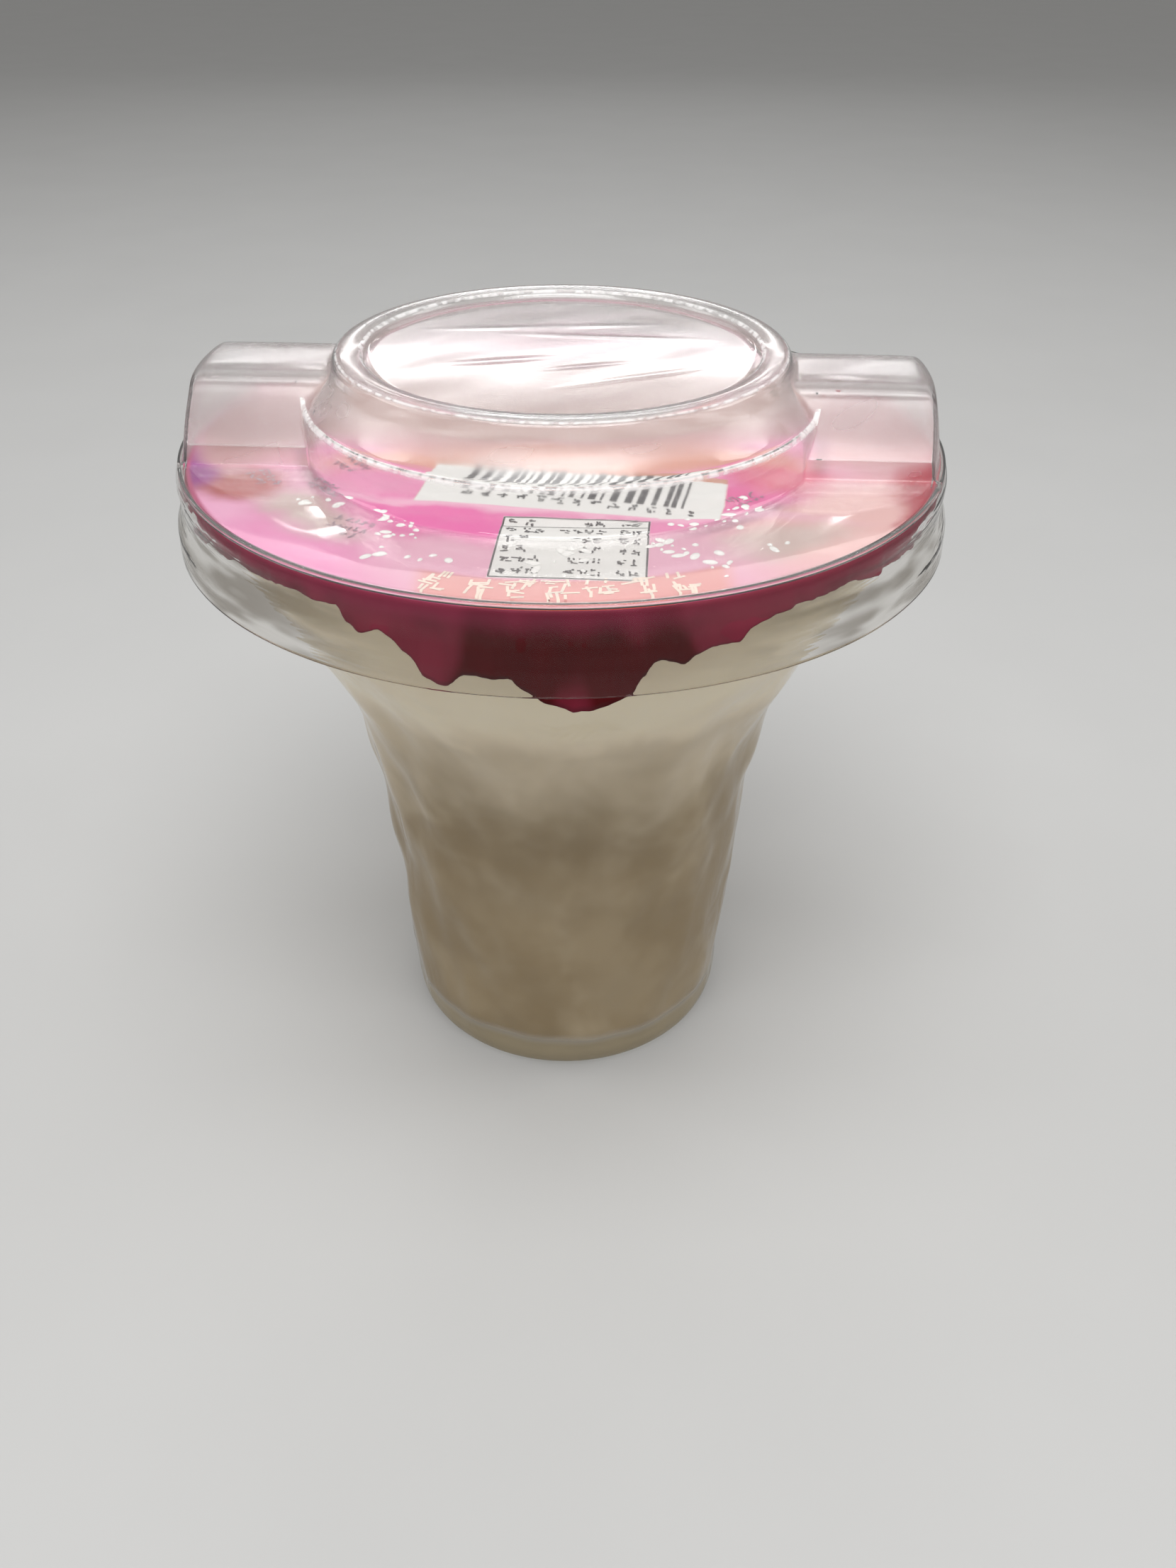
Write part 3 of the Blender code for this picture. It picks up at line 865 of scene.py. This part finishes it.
def make_film(print_finish, hem_material):
    """The disc, its rounded edge and the hem as one sheet with a thickness."""
    angles = [FULL_TURN * i / FILM_COLUMNS for i in range(FILM_COLUMNS)]
    points = []
    radii = [*FILM_RINGS, FILM_RADIUS - FILM_EDGE]
    for r in radii:
        for angle in angles:
            x, y, _ = on_circle(r, angle, 0.0)
            points.append((x, y, FILM_TOP + film_rise(x, y)))
    rows = len(radii)
    hem_start = rows * FILM_COLUMNS
    for step in (30, 60, 90):
        out = math.sin(math.radians(step)) * FILM_EDGE
        down = (1 - math.cos(math.radians(step))) * FILM_EDGE
        points += [on_circle(FILM_RADIUS - FILM_EDGE + out, angle, FILM_TOP - down) for angle in angles]
        rows += 1
    for share in np.linspace(0, 1, HEM_ROWS + 1)[1:]:
        for angle in angles:
            degrees = (math.degrees(angle) + 180) % 360 - 180
            down = FILM_EDGE + share * (hem_drop(degrees) - FILM_EDGE)
            r = FILM_RADIUS + hem_fold(degrees, down - FILM_EDGE)
            r = min(r, SKIRT_RADIUS - CAP_WALL - HEM_CLEARANCE)
            points.append(on_circle(r, angle, FILM_TOP - down))
        rows += 1
    faces = ring_faces(rows, FILM_COLUMNS)
    points.append((0.0, 0.0, FILM_TOP + film_rise(0, 0)))
    for i in range(FILM_COLUMNS):
        faces.append((len(points) - 1, i, (i + 1) % FILM_COLUMNS))
    film = add_piece("film_skin", points, faces, print_finish, "sealing_film")
    film.data.materials.append(hem_material)
    for face in film.data.polygons:
        face.material_index = int(hem_start <= face.vertices[0] < len(points) - 1)
    thickness = film.modifiers.new("thickness", "SOLIDIFY")
    thickness.thickness = FILM_THICK * MM
    thickness.offset = -1.0
    apply_modifiers(film)


def turned_frame(centre, degrees):
    """A function from a label's own (x, y) to the film's."""
    c, s = math.cos(math.radians(degrees)), math.sin(math.radians(degrees))
    return lambda x, y: (centre[0] + c * x - s * y, centre[1] + s * x + c * y)


class Print:
    """Flat marks of one ink on the film. Their sizes are in millimetres, and at() gives a mark's place."""

    def __init__(self, spread):
        self.spread = spread
        self.points = []
        self.faces = []

    def strip(self, start, end, width):
        """A flat mark from start to end that follows the film's wrinkles."""
        start, end = np.array(start), np.array(end)
        run = end - start
        length = np.linalg.norm(run)
        side = np.array([-run[1], run[0]]) / length * width / 2
        steps = max(int(length / STRIP_STEP), 1)
        for i in range(steps + 1):
            middle = start + run * i / steps
            for x, y in (middle + side, middle - side):
                self.points.append((x, y, FILM_TOP + film_rise(x, y) + INK_RISE))
            if i:
                n = len(self.points)
                self.faces.append((n - 4, n - 3, n - 1, n - 2))

    def scribble(self, at, x, y, size, strokes, thick):
        """A plain stand-in for a letter: short strokes that lie at random."""
        spread = self.spread
        for _ in range(strokes):
            lie = 90 * int(spread.integers(0, 2))
            turn = math.radians(lie + spread.uniform(-STROKE_LEAN, STROKE_LEAN))
            cx, cy = x + spread.uniform(-0.35, 0.35) * size, y + spread.uniform(-0.5, 0.5) * size
            half = size * spread.uniform(*STROKE_HALF)
            u, v = half * math.cos(turn), half * math.sin(turn)
            self.strip(at(cx - u, cy - v), at(cx + u, cy + v), thick)

    def word(self, at, x, y, letters, size):
        """A plain stand-in for a word."""
        for i in range(letters):
            middle = x + size * (0.5 + LETTER_STEP * i)
            self.scribble(at, middle, y, size, LETTER_STROKES, LETTER_THICK * size)

    def bars(self, at):
        """Bars of many widths, with a row of scribbles under them."""
        x = -BARS_REACH
        while x < BARS_REACH:
            width = BAR_UNIT * self.spread.integers(1, 4)
            self.strip(at(x + width / 2, BARS_FOOT), at(x + width / 2, BARS_HEAD), width)
            x += width + BAR_UNIT * self.spread.integers(1, 4)
        for i in range(FIGURES):
            self.word(at, FIGURES_START + FIGURE_STEP * i, FIGURES_LINE, 1, FIGURE_SIZE)

    def table(self, at):
        """A ruled frame with three columns of words."""
        wide, high = TABLE_HALF_WIDTH, TABLE_HALF_HEIGHT
        for y in (-high, high):
            self.strip(at(-wide, y), at(wide, y), TABLE_RULE)
        for x in (-wide, wide):
            self.strip(at(x, -high), at(x, high), TABLE_RULE)
        self.strip(at(-wide, HEADER_LINE), at(wide, HEADER_LINE), HEADER_RULE)
        for row in range(TABLE_ROWS):
            y = FIRST_ROW - ROW_STEP * row
            self.word(at, ITEM_LEFT, y, int(self.spread.integers(2, 4)), ITEM_SIZE)
            letters = int(self.spread.integers(2, 5))
            self.word(at, AMOUNT_RIGHT - AMOUNT_STEP * letters, y, letters, AMOUNT_SIZE)
            self.word(at, SHARE_LEFT, y, 2, AMOUNT_SIZE)

    def add(self, name, ink):
        add_piece(name, self.points, self.faces, ink)


def make_marks(dark, grey, pale):
    """Plain printed marks: bars and a ruled table, blocks of small words, and strokes for the title."""
    spread = np.random.default_rng(4)
    marks = Print(spread)
    marks.bars(turned_frame(BARS_PLACE, BARS_TURN))
    marks.table(turned_frame(TABLE_PLACE, TABLE_TURN))
    marks.add("printed_marks", dark)
    small = Print(spread)
    for centre, turn, rows in WORD_BLOCKS:
        at = turned_frame(centre, turn)
        for row in range(rows):
            start = BLOCK_LEFT + spread.uniform(0, BLOCK_INDENT)
            y = BLOCK_FIRST_ROW - BLOCK_ROW_STEP * row
            small.word(at, start, y, int(spread.integers(4, 7)), BLOCK_SIZE)
    small.add("small_print", grey)
    title = Print(spread)
    for i in range(TITLE_GLYPHS):
        angle = TITLE_START + TITLE_STEP * i
        at = turned_frame(on_circle(TITLE_RADIUS, math.radians(angle), 0)[:2], angle)
        title.scribble(at, 0.0, 0.0, TITLE_SIZE, TITLE_STROKES, TITLE_THICK)
    title.add("title_strokes", pale)


def make_glint_droplets(material):
    """Beads of moisture on the film under the overcap, in loose groups, white as painted glints."""
    spread = np.random.default_rng(11)
    points, faces = [], []
    for x, y in GLINT_DROPLET_GROUPS:
        for _ in range(int(spread.integers(*BEADS_IN_GROUP))):
            cx, cy = x + spread.normal(0, BEAD_SCATTER), y + spread.normal(0, BEAD_SCATTER)
            wide = spread.uniform(*BEAD_HALF)
            long = wide * spread.uniform(*BEAD_STRETCH)
            turn = spread.uniform(0, math.pi)
            at = turned_frame((cx, cy), math.degrees(turn))
            first = len(points)
            for height, share in BEAD_RINGS:
                for i in range(BEAD_SIDES):
                    angle = FULL_TURN * i / BEAD_SIDES
                    px, py = at(long * share * math.cos(angle), wide * share * math.sin(angle))
                    points.append((px, py, FILM_TOP + film_rise(px, py) + height))
            last = len(points) - BEAD_SIDES
            points.append((cx, cy, FILM_TOP + film_rise(cx, cy) + BEAD_TOP))
            faces += [face[::-1] for face in ring_faces(len(BEAD_RINGS), BEAD_SIDES, first)]
            faces += [(last + i, last + (i + 1) % BEAD_SIDES, len(points) - 1) for i in range(BEAD_SIDES)]
    add_piece("moisture_glint_beads", points, faces, material)


# Overcap


def join_soft(a, b, reach=BLEND):
    """The greater of two heights, with a small fillet where they meet."""
    near = np.maximum(reach - np.abs(a - b), 0) / reach
    return np.maximum(a, b) + near * near * reach / 4


def dome_outline():
    """Height of the dome at growing radii: disc, ring, cone, shoulder and upright foot."""
    crest, recess = RING_HEIGHT, RING_HEIGHT - RECESS_DEPTH
    return rounded(
        [
            (0.0, recess),
            (RECESS_RADIUS - 2.0, recess),
            (RECESS_RADIUS - 0.5, recess),
            (RECESS_RADIUS + 0.2, crest + 0.05),
            (RING_RADIUS - 0.1, crest + 0.05),
            (RING_RADIUS + 0.2, crest - 2.2),
            (DOME_RADIUS - 0.8, SHOULDER_HEIGHT + 0.2),
            (DOME_RADIUS, SHOULDER_HEIGHT - 0.5),
            (DOME_RADIUS + 0.2, -1.0),
            (DOME_RADIUS + 0.4, -3.0),
        ]
    )


def cap_height(x, y):
    """Height of the overcap's top side: plate, dome with its ring, and spoon bar."""
    r = np.hypot(x, y)
    dome_r, dome_z = zip(*dome_outline())
    dome = np.interp(r, dome_r, dome_z)
    drop = np.clip(r - (RIM_OUTER - RIM_ROUND), 0, RIM_ROUND)
    plate = PLATE_HEIGHT - (RIM_ROUND - np.sqrt(RIM_ROUND**2 - drop**2))
    c, s = math.cos(BAR_TURN), math.sin(BAR_TURN)
    across = np.abs(c * y - s * x)
    side_v, side_z = zip(*rounded(BAR_SIDE))
    end_r, end_z = zip(*rounded(BAR_END))
    side, end = np.interp(across, side_v, side_z), np.interp(r, end_r, end_z)
    bar = -join_soft(-side, -end, BAR_BLEND)
    ledge = LEDGE_BEAD * np.exp(-(((r - LEDGE_RADIUS) / LEDGE_WIDTH) ** 2))
    return join_soft(join_soft(plate, bar), dome + ledge)


def cap_plan():
    """The plan of the overcap's top side: triangles whose edges follow its circles and the bar's lines."""
    points, edges = [], []

    def add_line(line, closed=False):
        first = len(points)
        points.extend(line)
        last = len(points) - 1
        edges.extend((i, i + 1) for i in range(first, last))
        if closed:
            edges.append((last, first))

    dome_radii = [r for r, _ in dome_outline() if r > 1.0]
    fillet = [DOME_RADIUS + d for d in (0.45, 0.6, 0.8, 1.1)]
    edge = [RIM_OUTER - RIM_ROUND + d for d in (0.0, 0.3, 0.55, RIM_ROUND - RIM_LIP)]
    ledge = [LEDGE_RADIUS + d for d in (-0.6, -0.4, -0.2, 0.0, 0.2, 0.4)]
    last = -1.0
    for r in sorted([*FLAT_RINGS, *dome_radii, *ledge, *fillet, *edge]):
        if r - last > LEAST_RING_GAP:
            add_line([on_circle(r, FULL_TURN * i / COLUMNS, 0)[:2] for i in range(COLUMNS)], closed=True)
            last = r
    turn = Matrix.Rotation(BAR_TURN, 2)
    sides = [v for v, _ in rounded(BAR_SIDE) if v <= BAR_PLAN_HALF]
    ends = [r for r, _ in rounded(BAR_END) if BAR_END_START < r < PLATE_EDGE - 0.1]
    for way in (1, -1):
        for v in sorted({*sides, *(-v for v in sides)}):
            reach = np.linspace(*BAR_PLAN_RUN, BAR_PLAN_STEPS)
            add_line([turn @ Vector((way * math.sqrt(r * r - v * v), v)) for r in reach])
        for r in ends:
            swing = np.linspace(-1, 1, BAR_END_STEPS) * math.asin(BAR_PLAN_HALF / r)
            add_line([turn @ Vector((way * r * math.cos(a), r * math.sin(a))) for a in swing])
    flat, _, faces, *_ = delaunay_2d_cdt([Vector(p) for p in points], edges, [], 0, MERGE)
    return np.array([tuple(p) for p in flat]), [tuple(face) for face in faces]


def make_overcap(top_material, skirt_material):
    """The top side as a height over its plan, welded to the skirt and given its wall."""
    plan, faces = cap_plan()
    heights = cap_height(plan[:, 0], plan[:, 1])
    points = [(x, y, FILM_TOP + z) for (x, y), z in zip(plan, heights)]
    edge_z = float(cap_height(np.array([PLATE_EDGE]), np.array([0.001]))[0])
    outline = [(PLATE_EDGE, edge_z), *rounded(SKIRT_MARKS, 2)[1:]]
    first = len(points)
    for r, z in outline:
        for i in range(COLUMNS):
            angle = FULL_TURN * i / COLUMNS
            sway = 0.0
            if z < SWAY_TOP:
                spot = Vector((math.sin(angle) * 3, math.cos(angle) * 3, z * 0.1))
                sway = SKIRT_SWAY * noise.noise(spot)
            points.append(on_circle(min(r + sway, SKIRT_RADIUS), angle, FILM_TOP + z))
    faces += ring_faces(len(outline), COLUMNS, first)
    cap = add_piece("overcap_shell", points, faces, top_material, "overcap")
    cap.data.materials.append(skirt_material)
    for face in cap.data.polygons:
        face.material_index = int(face.center.xy.length > SKIRT_START * MM)
    weld = cap.modifiers.new("weld", "WELD")
    weld.merge_threshold = WELD * MM
    thickness = cap.modifiers.new("thickness", "SOLIDIFY")
    thickness.thickness = CAP_WALL * MM
    thickness.offset = -1.0
    apply_modifiers(cap)


# Stage

FLOOR_REACH = 3.0
WORLD_GLOW = 0.33
# Watts for each square metre of a softbox at which it looks plain white
WHITE_POWER = 4.0


def add_light(name, way, size, glow):
    """A softbox that faces the film's middle from a way in metres. A glow of 1 is plain white."""
    lamp = bpy.data.lights.new(name, "AREA")
    lamp.shape = "RECTANGLE"
    lamp.size, lamp.size_y = size
    lamp.energy = WHITE_POWER * glow * size[0] * size[1]
    holder = bpy.data.objects.new(name, lamp)
    holder.location = Vector((0, 0, FILM_TOP * MM)) + Vector(way)
    holder.rotation_euler = (-Vector(way)).to_track_quat("-Z", "Y").to_euler()
    bpy.context.scene.collection.objects.link(holder)


SOFTBOXES = (
    # name, way from the middle of the film, size, glow
    ("overhead", (0, -0.17, 0.5), (0.4, 0.4), 3.0),
    ("back_strip", (0, 0.957, 0.309), (0.66, 0.018), 6.4),
    ("back_glow", (0, 0.957, 0.282), (0.66, 0.02), 0.1),
    ("front_strip", (0, -0.30, 0.52), (0.6, 0.05), 8.0),
    ("left_softbox", (-0.6, 0.1, 0.42), (0.3, 0.3), 2.2),
    ("right_softbox", (0.6, 0.1, 0.42), (0.3, 0.3), 2.2),
    ("back_softbox", (0, 0.42, 0.45), (0.8, 0.24), 0.8),
)

# Small far lamps that glint in the film
GLARE = (
    # turn and rise in degrees from the middle of the film, width, height, glow
    (-14.8, 25.4, 0.08, 0.016, 3.5),
    (17.3, 24.3, 0.07, 0.024, 4.5),
    (-12.6, 25.9, 0.026, 0.005, 34.0),
    (-13.0, 22.6, 0.026, 0.005, 34.0),
    (10.4, 26.0, 0.026, 0.005, 34.0),
    (14.7, 22.3, 0.026, 0.005, 34.0),
)


def make_floor():
    mesh = bpy.data.meshes.new("floor")
    reach = FLOOR_REACH
    corners = [(-reach, -reach, 0), (reach, -reach, 0), (reach, reach, 0), (-reach, reach, 0)]
    mesh.from_pydata(corners, [], [(0, 1, 2, 3)])
    mesh.materials.append(floor_finish())
    floor = bpy.data.objects.new("floor", mesh)
    bpy.context.scene.collection.objects.link(floor)


def make_world():
    world = bpy.data.worlds.new("studio")
    world.use_nodes = True
    background = world.node_tree.nodes["Background"]
    background.inputs["Color"].default_value = (1.0, 0.99, 0.97, 1.0)
    background.inputs["Strength"].default_value = WORLD_GLOW
    bpy.context.scene.world = world
    bpy.context.scene.view_settings.view_transform = "Standard"


def make_lights():
    for softbox in SOFTBOXES:
        add_light(*softbox)
    for i, (turn, rise, width, height, glow) in enumerate(GLARE):
        turn, rise = math.radians(turn), math.radians(rise)
        way = (math.sin(turn) * math.cos(rise), math.cos(turn) * math.cos(rise), math.sin(rise))
        add_light(f"glare_{i}", way, (width, height), glow)


def make_camera():
    lens = bpy.data.cameras.new("camera")
    lens.lens = CAMERA_LENS
    lens.sensor_fit = "VERTICAL"
    lens.sensor_height = 36.0
    lens.clip_start = 0.01
    camera = bpy.data.objects.new("camera", lens)
    back = -CAMERA_FORWARD.normalized()
    right = CAMERA_UP.cross(back).normalized()
    turn = Matrix((right, back.cross(right), back)).transposed()
    place = (CAMERA_PLACE + Vector((0, 0, FILM_TOP))) * MM
    camera.matrix_world = Matrix.Translation(place) @ turn.to_4x4()
    bpy.context.scene.collection.objects.link(camera)
    bpy.context.scene.camera = camera


make_cup(cup_finish())
make_jelly(jelly_finish())
make_film(film_finish(), hem_finish())
make_marks(
    ink_finish("print_ink", (0.10, 0.095, 0.10)),
    ink_finish("small_ink", (0.30, 0.20, 0.26)),
    ink_finish("title_ink", (0.86, 0.72, 0.62)),
)
# The beads' white is painted glint
make_glint_droplets(Finish("moisture", (0.93, 0.92, 0.91), 0.12, Specular_IOR_Level=0.6).material)
make_overcap(overcap_finish(), skirt_finish())
make_floor()
make_world()
make_lights()
make_camera()
